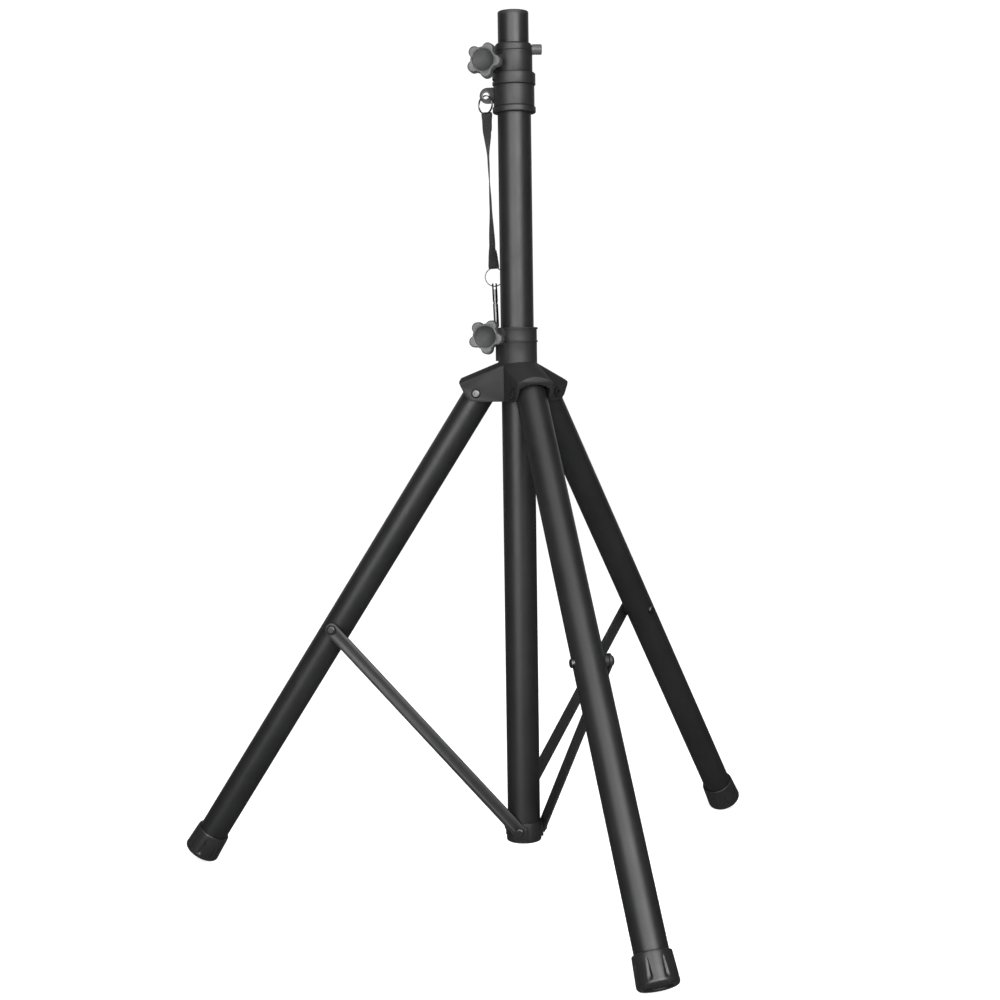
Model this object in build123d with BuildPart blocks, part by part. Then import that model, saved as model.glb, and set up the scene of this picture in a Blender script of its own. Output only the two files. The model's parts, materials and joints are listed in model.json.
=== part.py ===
from build123d import *
from math import atan2, cos, degrees, hypot, radians, sin
import os

# Folding tripod stand for a loudspeaker, in millimetres.
# The origin is on the column's axis, on the floor.  +Z is up.  Legs stand at 270, 30 and 150 degrees.
# In each leg's frame r runs outwards, t runs anticlockwise as seen from above, and z runs up.

os.makedirs("parts", exist_ok=True)

# ---------------------------------------------------------------- driving dimensions
RUN = 0.1  # radial clearance of a sliding or turning fit
GAP = 0.3  # clearance between a brace bar and its rivet's head
SEAT = 0.02  # clearance of a piece seated on another piece's outside

LEG_AZIMUTHS = (270, 30, 150)
CLAMP_AZIMUTH = 150  # both clamps, their knobs and the lanyard lug are on this side
BOSS_AZIMUTH = 345
PINCH_AZIMUTH = 163  # the notch in the sleeve's upper ring

# column and pole
TUBE_R, TUBE_WALL = 19.0, 1.2
TUBE_Z = (47.5, 928.5)
POLE_R, POLE_WALL = 17.5, 1.5
POLE_Z = (116, 994)
POLE_TOP = 998
POLE_HOLE_R, POLE_HOLE_PITCH, POLE_HOLES = 3.4, 100, 8

# upper collar: heights of its steps, and their radii
SLEEVE_FOOT, SLEEVE_BODY, SLEEVE_RING = 885, 892, 915.5
CLAMP_FOOT, CLAMP_GROOVE, CLAMP_TOP = 929.5, 953.3, 962
FOOT_RING_R, SLEEVE_R, TOP_RING_R, CLAMP_R = 24.5, 23.2, 24.5, 21.3
PINCH_Z, PINCH_FLOOR_R = 920.9, 20.0
BOSS_Z, BOSS_R, BOSS_END = 955.9, 5.9, 32.0

# clamp ears and knobs: bolt centre (r, z), ear radius
COLLAR_BOLT_R, COLLAR_BOLT_Z, COLLAR_EAR_R = 27.0, 940.0, 8.6
HUB_BOLT_R, HUB_BOLT_Z, HUB_EAR_R = 29.3, 632.5, 9.9
SLOT_HALF, EAR_FRONT, COLLAR_EAR_BACK, HUB_EAR_BACK = 1.2, 20.0, 7.0, 6.2
CLAMP_BOLT_R, CLAMP_BOLT_END = 3.0, 31.0
KNOB_BACK, KNOB_SHOULDER, KNOB_FACE = 20.4, 26.0, 38.8
KNOB_TIP_R, KNOB_LOBE_R, KNOB_CORE_R, KNOB_LOBES = 20.2, 6.6, 14.9, 5
COLLAR_KNOB_TURN, HUB_KNOB_TURN = -78, -84
DISH_R, DISH_DEPTH = 13.0, 3.6

# hub
HUB_FOOT, HUB_NECK, HUB_TOP = 558.5, 603.5, 643
NECK_R, FLANGE_R, HUB_BORE_R = 22.4, 23.5, 20.4
ARM_TIP_R, ARM_TIP_Z, ARM_ARCH, ARM_HALF, CHEEK = 65.5, 586.5, 7.0, 21.0, 3.1
ARM_ROOT_R = 4.0
RIB_Z = 627.1  # rib round the neck below its top flange
ROOF, FASCIA, FASCIA_R, SHOULDER_ROUND = 2.8, 8.5, 61.5, 2.6
LIP_R, LIP_HALF, LIP_FOOT = 24.8, 4.5, 605

# legs: hub pivot, slope, and stations measured from the pivot along the leg
LEG_PIVOT_R, LEG_PIVOT_Z, LEG_ANGLE = 45.0, 568.0, 32.92
LEG_R, LEG_WALL = 17.5, 1.2
LEG_START, BRACE_STATION, FOOT_START, LEG_END, FOOT_END = -8, 329, 632.2, 653, 665
PIVOT_BOLT_R = 3.0

# braces and bottom bracket
BRACE_FOOT_Z = 59.0
BAR_WIDTH, BAR_INNER, BAR_OUTER = 16.0, 21.3, 24.1
BRACKET_R, BRACKET_FOOT, BRACKET_TOP, PAD_FACE, PAD_HALF = 20.4, 44.5, 68, 21.0, 8.8
RIVET_R, RIVET_HEAD_R, RIVET_HEAD_H = 3.0, 5.8, 3.2

# lanyard: lug eyelet (r, z), rings, strap route from ring to ring, and pin
EYELET_R, EYELET_Z, GROMMET_R, GROMMET_HOLE_R = 32.8, 906.2, 5.0, 3.7
UPPER_RING_AT = 33.4
UPPER_RING_R, LOWER_RING_R, RING_WIRE_R = 10.1, 10.6, 0.65
UPPER_RING_NORMAL, LOWER_RING_NORMAL = 212, 252
LOWER_RING_CENTRE = (-18.1, 26.9, 701.8)
STRAP_WIDTH, STRAP_THICKNESS = 11.5, 2.2
STRAP_ROUTE = [
    (-27.4, 17.2, 887.4),
    (-26.4, 19.2, 856.0),
    (-24.2, 21.8, 816.0),
    (-21.8, 24.6, 777.0),
    (-20.6, 26.2, 740.0),
    (-18.6, 26.8, 711.6),
]
PIN_TIP = (-16.4, 26.3, 644.0)
PIN_R, PIN_LENGTH, PIN_LEAN = 3.0, 50.6, -2.2


# ---------------------------------------------------------------- frames of reference
def radial(azimuth):
    """Unit vector outwards at an azimuth."""
    return Vector(cos(radians(azimuth)), sin(radians(azimuth)), 0)


def tangential(azimuth):
    """Unit vector anticlockwise at an azimuth."""
    return radial(azimuth + 90)


def spot(azimuth, r, t, z):
    """Point from its r, t and z in the frame of an azimuth."""
    return radial(azimuth) * r + tangential(azimuth) * t + Vector(0, 0, z)


def side_plane(azimuth, t):
    """Sketch plane of r and z.  It is t off the axis, and extrusions run back, clockwise."""
    return Plane(origin=tangential(azimuth) * t, x_dir=radial(azimuth), z_dir=-tangential(azimuth))


def leg_direction(azimuth):
    """Unit vector down a leg."""
    return radial(azimuth) * sin(radians(LEG_ANGLE)) - Vector(0, 0, cos(radians(LEG_ANGLE)))


def leg_point(azimuth, station, t=0):
    """Point on a leg's axis at a station, moved t sideways."""
    return spot(azimuth, LEG_PIVOT_R, t, LEG_PIVOT_Z) + leg_direction(azimuth) * station


def leg_section(azimuth, station):
    """Sketch plane across a leg.  Extrusions run down the leg."""
    return Plane(
        origin=leg_point(azimuth, station),
        x_dir=tangential(azimuth),
        z_dir=leg_direction(azimuth),
    )


def leg_side(azimuth, station, t):
    """Sketch plane beside a leg, t off its axis.  x is square to the leg, y runs down it."""
    across = radial(azimuth) * cos(radians(LEG_ANGLE)) + Vector(0, 0, sin(radians(LEG_ANGLE)))
    return Plane(
        origin=leg_point(azimuth, station, t), x_dir=across, z_dir=tangential(azimuth)
    )


def knob_plane(r, t, z):
    """Sketch plane square to a clamp bolt.  Extrusions run out towards the knob."""
    return Plane(
        origin=spot(CLAMP_AZIMUTH, r, t, z),
        x_dir=-radial(CLAMP_AZIMUTH),
        z_dir=tangential(CLAMP_AZIMUTH),
    )


BRACE_HEAD_R = LEG_PIVOT_R + BRACE_STATION * sin(radians(LEG_ANGLE))
BRACE_HEAD_Z = LEG_PIVOT_Z - BRACE_STATION * cos(radians(LEG_ANGLE))
BRACE_RISE = BRACE_HEAD_Z - BRACE_FOOT_Z
BRACE_LENGTH = hypot(BRACE_HEAD_R, BRACE_RISE)
BRACE_SLOPE = degrees(atan2(BRACE_RISE, BRACE_HEAD_R))

# ================================================================ column
with BuildPart() as main_tube:
    with BuildSketch(Plane.XY.offset(TUBE_Z[0])):
        Circle(TUBE_R)
        Circle(TUBE_R - TUBE_WALL, mode=Mode.SUBTRACT)
    extrude(amount=TUBE_Z[1] - TUBE_Z[0])
main_tube.part.label = "main_tube"
export_step(main_tube.part, "parts/main_tube.step")

with BuildPart() as bottom_bracket:
    with BuildSketch(Plane.XY.offset(BRACKET_FOOT)):
        Circle(BRACKET_R)
    extrude(amount=BRACKET_TOP - BRACKET_FOOT)
    fillet(bottom_bracket.faces().sort_by(Axis.Z)[0].edges(), radius=2)
    for azimuth in LEG_AZIMUTHS:
        with BuildSketch(side_plane(azimuth, PAD_FACE)):
            with Locations((0, BRACE_FOOT_Z)):
                Circle(PAD_HALF)
            with Locations((0, BRACE_FOOT_Z - 5)):
                Rectangle(2 * PAD_HALF, 10)
        extrude(amount=8)
    with BuildSketch(Plane.XY.offset(TUBE_Z[0])):
        Circle(TUBE_R + SEAT)
    extrude(amount=40, mode=Mode.SUBTRACT)
bottom_bracket.part.label = "bottom_bracket"
export_step(bottom_bracket.part, "parts/bottom_bracket.step")

with BuildPart() as bracket_rivet:
    with BuildSketch():
        Circle(RIVET_R)
    extrude(amount=BAR_OUTER + GAP - PAD_FACE)
    with BuildSketch(Plane.XY.offset(BAR_OUTER + GAP - PAD_FACE)):
        Circle(RIVET_HEAD_R)
    extrude(amount=RIVET_HEAD_H)
    fillet(bracket_rivet.faces().sort_by(Axis.Z)[-1].edges(), radius=2.6)

with BuildPart() as bracket_rivets:
    for azimuth in LEG_AZIMUTHS:
        pad_centre = spot(azimuth, 0, PAD_FACE, BRACE_FOOT_Z)
        with Locations(Plane(origin=pad_centre, z_dir=tangential(azimuth))):
            add(bracket_rivet.part)
bracket_rivets.part.label = "bracket_rivets"
export_step(bracket_rivets.part, "parts/bracket_rivets.step")

with BuildPart() as collar_sleeve:
    with BuildSketch(Plane.XZ):
        with BuildLine():
            Polyline(
                (TUBE_R + SEAT, SLEEVE_FOOT),
                (FOOT_RING_R - 0.8, SLEEVE_FOOT),
                (FOOT_RING_R, SLEEVE_FOOT + 0.8),
                (FOOT_RING_R, SLEEVE_BODY - 0.8),
                (SLEEVE_R - 0.6, SLEEVE_BODY),
                (SLEEVE_R, SLEEVE_BODY + 0.6),
                (SLEEVE_R, SLEEVE_RING - 0.6),
                (SLEEVE_R - 0.6, SLEEVE_RING),
                (TOP_RING_R, SLEEVE_RING + 0.8),
                (TOP_RING_R, CLAMP_FOOT - 1.2),
                (TOP_RING_R - 1.2, CLAMP_FOOT),
                (TUBE_R + SEAT, CLAMP_FOOT),
                (TUBE_R + SEAT, SLEEVE_FOOT),
            )
        make_face()
    revolve(axis=Axis.Z)
    with BuildSketch(side_plane(CLAMP_AZIMUTH, 0.8)):
        with Locations((26.0, EYELET_Z - 0.2)):
            Rectangle(10, 18)
        with Locations((31.0, EYELET_Z - 0.2)):
            Circle(9.0)
        with Locations((EYELET_R, EYELET_Z)):
            Circle(GROMMET_R, mode=Mode.SUBTRACT)
    extrude(amount=1.6)
    with BuildSketch(side_plane(PINCH_AZIMUTH, 11)):
        with Locations((PINCH_FLOOR_R + 6, PINCH_Z)):
            Rectangle(12, 2.6)
    extrude(amount=22, mode=Mode.SUBTRACT)
collar_sleeve.part.label = "collar_sleeve"
export_step(collar_sleeve.part, "parts/collar_sleeve.step")

with BuildPart() as lug_grommet:
    with BuildSketch(side_plane(CLAMP_AZIMUTH, 1.0)):
        with Locations((EYELET_R, EYELET_Z)):
            Circle(GROMMET_R)
            Circle(GROMMET_HOLE_R, mode=Mode.SUBTRACT)
    extrude(amount=2.0)
lug_grommet.part.label = "lug_grommet"
export_step(lug_grommet.part, "parts/lug_grommet.step")

with BuildPart() as clamp_collar:
    with BuildSketch(side_plane(CLAMP_AZIMUTH, EAR_FRONT)):
        with Locations((COLLAR_BOLT_R, COLLAR_BOLT_Z)):
            Circle(COLLAR_EAR_R)
        with Locations((COLLAR_BOLT_R / 2, COLLAR_BOLT_Z + 1)):
            Rectangle(COLLAR_BOLT_R, 14)
    extrude(amount=EAR_FRONT + COLLAR_EAR_BACK)
    with BuildSketch(Plane.XZ):
        with BuildLine():
            Polyline(
                (0, CLAMP_FOOT),
                (CLAMP_R, CLAMP_FOOT),
                (CLAMP_R, CLAMP_GROOVE - 0.5),
                (CLAMP_R - 0.5, CLAMP_GROOVE),
                (CLAMP_R, CLAMP_GROOVE + 0.5),
                (CLAMP_R, CLAMP_TOP - 2.2),
                (CLAMP_R - 1.8, CLAMP_TOP),
                (0, CLAMP_TOP),
                (0, CLAMP_FOOT),
            )
        make_face()
    revolve(axis=Axis.Z)
    with BuildSketch(Plane.XY.offset(CLAMP_FOOT)):
        Circle(TUBE_R)
    extrude(amount=CLAMP_TOP, mode=Mode.SUBTRACT)
    with BuildSketch(side_plane(CLAMP_AZIMUTH, SLOT_HALF)):
        with Locations((36, COLLAR_BOLT_Z + 4)):
            Rectangle(40, 60)
    extrude(amount=2 * SLOT_HALF, mode=Mode.SUBTRACT)
    with BuildSketch(knob_plane(COLLAR_BOLT_R, -COLLAR_EAR_BACK - 1, COLLAR_BOLT_Z)):
        Circle(CLAMP_BOLT_R + 0.2)
    extrude(amount=40, mode=Mode.SUBTRACT)
    with BuildSketch(Plane(origin=(0, 0, BOSS_Z), x_dir=(0, 0, 1), z_dir=radial(BOSS_AZIMUTH))):
        Circle(POLE_HOLE_R)
    extrude(amount=30, mode=Mode.SUBTRACT)
clamp_collar.part.label = "clamp_collar"
export_step(clamp_collar.part, "parts/clamp_collar.step")

with BuildPart() as collar_liner:
    with BuildSketch(Plane.XY.offset(CLAMP_FOOT)):
        Circle(TUBE_R - 0.05)
        Circle(POLE_R + RUN, mode=Mode.SUBTRACT)
    extrude(amount=CLAMP_TOP - CLAMP_FOOT - 1)
    with BuildSketch(Plane(origin=(0, 0, BOSS_Z), x_dir=(0, 0, 1), z_dir=radial(BOSS_AZIMUTH))):
        Circle(POLE_HOLE_R)
    extrude(amount=30, mode=Mode.SUBTRACT)
collar_liner.part.label = "collar_liner"
export_step(collar_liner.part, "parts/collar_liner.step")

with BuildPart() as pin_guide_boss:
    boss_root = Plane(origin=(0, 0, BOSS_Z), x_dir=(0, 0, 1), z_dir=radial(BOSS_AZIMUTH))
    with BuildSketch(boss_root):
        Circle(BOSS_R)
    extrude(amount=BOSS_END)
    chamfer(pin_guide_boss.faces().sort_by(Axis((0, 0, 0), radial(BOSS_AZIMUTH)))[-1].edges(), 0.8)
    for start in (24.4, 27.4, 30.0):
        with BuildSketch(boss_root.offset(start)):
            Circle(BOSS_R)
            Circle(BOSS_R - 0.35, mode=Mode.SUBTRACT)
        extrude(amount=0.7, mode=Mode.SUBTRACT)
    with BuildSketch(boss_root):
        Circle(POLE_HOLE_R - 0.1)
    extrude(amount=BOSS_END, mode=Mode.SUBTRACT)
    with BuildSketch(Plane.XY.offset(BOSS_Z - 10)):
        Circle(CLAMP_R + SEAT)
    extrude(amount=20, mode=Mode.SUBTRACT)
pin_guide_boss.part.label = "pin_guide_boss"
export_step(pin_guide_boss.part, "parts/pin_guide_boss.step")

# clamp bolts and their washers: the head is behind the rear ear, the end is inside the knob
CLAMPS = (
    ("collar", COLLAR_BOLT_R, COLLAR_BOLT_Z, COLLAR_EAR_BACK, COLLAR_KNOB_TURN),
    ("hub", HUB_BOLT_R, HUB_BOLT_Z, HUB_EAR_BACK, HUB_KNOB_TURN),
)
WASHER_R, WASHER_H, BOLT_HEAD_R, BOLT_HEAD_H = 6.0, 1.0, 4.9, 2.4
for place, bolt_r, bolt_z, ear_back, knob_turn in CLAMPS:
    with BuildPart() as clamp_washer:
        with BuildSketch(knob_plane(bolt_r, -ear_back - WASHER_H, bolt_z)):
            Circle(WASHER_R)
            Circle(CLAMP_BOLT_R + 0.1, mode=Mode.SUBTRACT)
        extrude(amount=WASHER_H)
    clamp_washer.part.label = f"{place}_clamp_washer"
    export_step(clamp_washer.part, f"parts/{place}_clamp_washer.step")

    with BuildPart() as clamp_bolt:
        with BuildSketch(knob_plane(bolt_r, -ear_back - WASHER_H, bolt_z)):
            Circle(CLAMP_BOLT_R)
        extrude(amount=CLAMP_BOLT_END + ear_back + WASHER_H)
        with BuildSketch(knob_plane(bolt_r, -ear_back - WASHER_H - BOLT_HEAD_H, bolt_z)):
            RegularPolygon(BOLT_HEAD_R, 6)
        extrude(amount=BOLT_HEAD_H)
    clamp_bolt.part.label = f"{place}_clamp_bolt"
    export_step(clamp_bolt.part, f"parts/{place}_clamp_bolt.step")

    with BuildPart() as knob:
        with BuildSketch(knob_plane(bolt_r, KNOB_SHOULDER, bolt_z)) as star:
            Circle(KNOB_CORE_R)
            with PolarLocations(KNOB_TIP_R - KNOB_LOBE_R, KNOB_LOBES, start_angle=knob_turn):
                Circle(KNOB_LOBE_R)
            fillet(star.vertices(), radius=5)
        extrude(amount=KNOB_FACE - KNOB_SHOULDER)
        bolt_axis = Axis(spot(CLAMP_AZIMUTH, bolt_r, 0, bolt_z), tangential(CLAMP_AZIMUTH))
        fillet(knob.faces().sort_by(bolt_axis)[-1].edges(), radius=2.6)
        fillet(knob.faces().sort_by(bolt_axis)[0].edges(), radius=1.6)
        with BuildSketch(knob_plane(bolt_r, KNOB_BACK, bolt_z)):
            Circle(10)
        extrude(amount=KNOB_SHOULDER - KNOB_BACK)
        dish = (DISH_R**2 + DISH_DEPTH**2) / (2 * DISH_DEPTH)
        with Locations(spot(CLAMP_AZIMUTH, bolt_r, KNOB_FACE - DISH_DEPTH + dish, bolt_z)):
            Sphere(dish, mode=Mode.SUBTRACT)
        with BuildSketch(knob_plane(bolt_r, KNOB_BACK, bolt_z)):
            Circle(5.0)
        extrude(amount=12, mode=Mode.SUBTRACT)
    knob.part.label = f"{place}_knob"
    export_step(knob.part, f"parts/{place}_knob.step")

    with BuildPart() as knob_insert:
        with BuildSketch(knob_plane(bolt_r, KNOB_BACK, bolt_z)):
            Circle(4.98)
            Circle(CLAMP_BOLT_R + RUN, mode=Mode.SUBTRACT)
        extrude(amount=11.5)
    knob_insert.part.label = f"{place}_knob_insert"
    export_step(knob_insert.part, f"parts/{place}_knob_insert.step")

# ================================================================ pole
with BuildPart() as pole_tube:
    with BuildSketch(Plane.XY.offset(POLE_Z[0])):
        Circle(POLE_R)
        Circle(POLE_R - POLE_WALL, mode=Mode.SUBTRACT)
    extrude(amount=POLE_Z[1] - POLE_Z[0])
    with BuildSketch(Plane.XY.offset(CLAMP_TOP + 1.6)):
        Circle(POLE_R)
        Circle(POLE_R - 0.4, mode=Mode.SUBTRACT)
    extrude(amount=1.0, mode=Mode.SUBTRACT)
    for number in range(POLE_HOLES):
        height = BOSS_Z - number * POLE_HOLE_PITCH
        with BuildSketch(Plane(origin=(0, 0, height), x_dir=(0, 0, 1), z_dir=radial(BOSS_AZIMUTH))):
            Circle(POLE_HOLE_R)
        extrude(amount=20, both=True, mode=Mode.SUBTRACT)
pole_tube.part.label = "pole_tube"
export_step(pole_tube.part, "parts/pole_tube.step")

with BuildPart() as pole_top_plug:
    with BuildSketch(Plane.XY.offset(POLE_Z[1])):
        Circle(POLE_R)
    extrude(amount=POLE_TOP - POLE_Z[1])
    fillet(pole_top_plug.faces().sort_by(Axis.Z)[-1].edges(), radius=1.4)
    with BuildSketch(Plane.XY.offset(POLE_Z[1] - 16)):
        Circle(POLE_R - POLE_WALL - 0.05)
        Circle(13, mode=Mode.SUBTRACT)
    extrude(amount=16)
pole_top_plug.part.label = "pole_top_plug"
export_step(pole_top_plug.part, "parts/pole_top_plug.step")

with BuildPart() as pole_lower_bushing:
    with BuildSketch(Plane.XY.offset(POLE_Z[0] - 6)):
        Circle(TUBE_R - TUBE_WALL - RUN)
        Circle(12, mode=Mode.SUBTRACT)
    extrude(amount=6)
    with BuildSketch(Plane.XY.offset(POLE_Z[0])):
        Circle(POLE_R - POLE_WALL - 0.05)
        Circle(12, mode=Mode.SUBTRACT)
    extrude(amount=22)
pole_lower_bushing.part.label = "pole_lower_bushing"
export_step(pole_lower_bushing.part, "parts/pole_lower_bushing.step")

# ================================================================ hub
ROOF_RUN = ARM_TIP_R - NECK_R
ROOF_DROP = HUB_NECK - ARM_TIP_Z
ROOF_SLOPE = Vector(ROOF_RUN, 0, -ROOF_DROP)


def roofed_block(half, r_near, r_far, crest, arch, shoulder):
    """Block at azimuth 0 under the hub's sloping arched roof, its crest moved by crest."""
    root = Plane(origin=(NECK_R, 0, HUB_NECK), x_dir=(0, 1, 0), z_dir=ROOF_SLOPE)
    with BuildPart() as block:
        with BuildSketch(Plane.XY.offset(HUB_FOOT - 10)):
            with Locations(((r_near + r_far) / 2, 0)):
                Rectangle(r_far - r_near, 2 * half)
        extrude(amount=90)
        with BuildSketch(root) as section:
            with BuildLine():
                Polyline((-half, crest - arch), (-half, -90), (half, -90), (half, crest - arch))
                ThreePointArc((half, crest - arch), (0, crest), (-half, crest - arch))
            make_face()
            fillet(section.vertices().sort_by(Axis.Z)[-2:], radius=shoulder)
        extrude(amount=100, both=True, mode=Mode.INTERSECT)
    return block.part


RECESS_R, RECESS_DEPTH = 5.75, 1.2
RECESS_FLOOR = ARM_HALF - RECESS_DEPTH
arm_block = roofed_block(ARM_HALF, ARM_ROOT_R, ARM_TIP_R, 0, ARM_ARCH, SHOULDER_ROUND)
inner_half = ARM_HALF - CHEEK
arm_cavity = roofed_block(inner_half, NECK_R + 1.2, FASCIA_R, -ROOF, ARM_ARCH - 1, 1)
tip_cavity = roofed_block(inner_half, FASCIA_R - 5, 90, -FASCIA, ARM_ARCH - 1, 1)

with BuildPart() as hub_arm:
    with BuildSketch(side_plane(0, ARM_HALF + 1)):
        with BuildLine():
            Polyline(
                (0, HUB_NECK + 10),
                (ARM_TIP_R + 1, HUB_NECK + 10),
                (ARM_TIP_R + 1, ARM_TIP_Z - 3.0),
                (63.3, 577.0),
                (57.5, 565.5),
                (52.0, 560.0),
                (38.9, HUB_FOOT),
                (0, HUB_FOOT),
                (0, HUB_NECK + 10),
            )
        make_face()
    extrude(amount=2 * ARM_HALF + 2)
    add(arm_block, mode=Mode.INTERSECT)
    with BuildSketch(Plane.XY.offset(HUB_FOOT - 1)) as plan:
        with Locations((ARM_TIP_R / 2 - 1, 0)):
            Rectangle(ARM_TIP_R + 2, 2 * ARM_HALF + 0.2)
        fillet(plan.vertices().group_by(Axis.X)[-1], radius=3.5)
    extrude(amount=80, mode=Mode.INTERSECT)
    for face_t, depth, hole_r in (
        (ARM_HALF + 1, RECESS_DEPTH + 1, RECESS_R),
        (ARM_HALF + 1, 2 * ARM_HALF + 2, PIVOT_BOLT_R + 0.2),
        (-RECESS_FLOOR, RECESS_DEPTH + 1, RECESS_R),
    ):
        with BuildSketch(side_plane(0, face_t)):
            with Locations((LEG_PIVOT_R, LEG_PIVOT_Z)):
                Circle(hole_r)
        extrude(amount=depth, mode=Mode.SUBTRACT)
    add([arm_cavity, tip_cavity], mode=Mode.SUBTRACT)

with BuildPart() as hub_body:
    with BuildSketch(Plane.XZ):
        with BuildLine():
            Polyline(
                (0, HUB_FOOT),
                (NECK_R, HUB_FOOT),
                (NECK_R, RIB_Z - 1.1),
                (FLANGE_R, RIB_Z - 0.7),
                (FLANGE_R, RIB_Z + 0.7),
                (NECK_R, RIB_Z + 1.1),
                (NECK_R, HUB_TOP - 2.4),
                (FLANGE_R, HUB_TOP - 2),
                (FLANGE_R, HUB_TOP - 0.6),
                (FLANGE_R - 0.6, HUB_TOP),
                (0, HUB_TOP),
                (0, HUB_FOOT),
            )
        make_face()
    revolve(axis=Axis.Z)
    for azimuth in LEG_AZIMUTHS:
        add(hub_arm.part.rotate(Axis.Z, azimuth))
    with BuildSketch(side_plane(CLAMP_AZIMUTH, EAR_FRONT)):
        with Locations((HUB_BOLT_R, HUB_BOLT_Z)):
            Circle(HUB_EAR_R)
        with Locations((HUB_BOLT_R / 2, HUB_BOLT_Z)):
            Rectangle(HUB_BOLT_R, 2 * HUB_EAR_R)
    extrude(amount=EAR_FRONT + HUB_EAR_BACK)
    with BuildSketch(side_plane(CLAMP_AZIMUTH, LIP_HALF)):
        with Locations((LIP_R / 2, (LIP_FOOT + HUB_TOP) / 2)):
            Rectangle(LIP_R, HUB_TOP - LIP_FOOT)
    extrude(amount=2 * LIP_HALF)
    with BuildSketch(Plane.XY.offset(HUB_FOOT)):
        Circle(HUB_BORE_R)
    extrude(amount=HUB_TOP, mode=Mode.SUBTRACT)
    with BuildSketch(side_plane(CLAMP_AZIMUTH, SLOT_HALF)):
        with Locations((36, HUB_BOLT_Z + 2)):
            Rectangle(40, 30)
    extrude(amount=2 * SLOT_HALF, mode=Mode.SUBTRACT)
    with BuildSketch(knob_plane(HUB_BOLT_R, -HUB_EAR_BACK - 1, HUB_BOLT_Z)):
        Circle(CLAMP_BOLT_R + 0.2)
    extrude(amount=40, mode=Mode.SUBTRACT)
hub_body.part.label = "hub_body"
export_step(hub_body.part, "parts/hub_body.step")

with BuildPart() as hub_liner:
    with BuildSketch(Plane.XY.offset(HUB_FOOT + 1)):
        Circle(HUB_BORE_R - 0.05)
        Circle(TUBE_R + RUN, mode=Mode.SUBTRACT)
    extrude(amount=HUB_TOP - HUB_FOOT - 2)
hub_liner.part.label = "hub_liner"
export_step(hub_liner.part, "parts/hub_liner.step")

PIVOT_HEAD_R, PIVOT_HEAD_H = 4.75, 2.4
with BuildPart() as pivot_bolt:
    with BuildSketch(Plane.XY.offset(-RECESS_FLOOR - 1.6)):
        Circle(PIVOT_BOLT_R)
    extrude(amount=2 * RECESS_FLOOR + 1.6)
    with BuildSketch(Plane.XY.offset(RECESS_FLOOR)):
        Circle(PIVOT_HEAD_R)
    extrude(amount=PIVOT_HEAD_H)
    fillet(pivot_bolt.faces().sort_by(Axis.Z)[-1].edges(), radius=1.4)
    with BuildSketch(Plane.XY.offset(RECESS_FLOOR + PIVOT_HEAD_H)):
        RegularPolygon(2.2, 6)
    extrude(amount=-1.5, mode=Mode.SUBTRACT)

with BuildPart() as hub_pivot_bolts:
    for azimuth in LEG_AZIMUTHS:
        pivot = spot(azimuth, LEG_PIVOT_R, 0, LEG_PIVOT_Z)
        with Locations(Plane(origin=pivot, z_dir=tangential(azimuth))):
            add(pivot_bolt.part)
hub_pivot_bolts.part.label = "hub_pivot_bolts"
export_step(hub_pivot_bolts.part, "parts/hub_pivot_bolts.step")

with BuildPart() as hub_pivot_nuts:
    for azimuth in LEG_AZIMUTHS:
        with BuildSketch(side_plane(azimuth, -RECESS_FLOOR)):
            with Locations((LEG_PIVOT_R, LEG_PIVOT_Z)):
                RegularPolygon(5.2, 6)
                Circle(PIVOT_BOLT_R + SEAT, mode=Mode.SUBTRACT)
        extrude(amount=3.0)
hub_pivot_nuts.part.label = "hub_pivot_nuts"
export_step(hub_pivot_nuts.part, "parts/hub_pivot_nuts.step")

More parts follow.
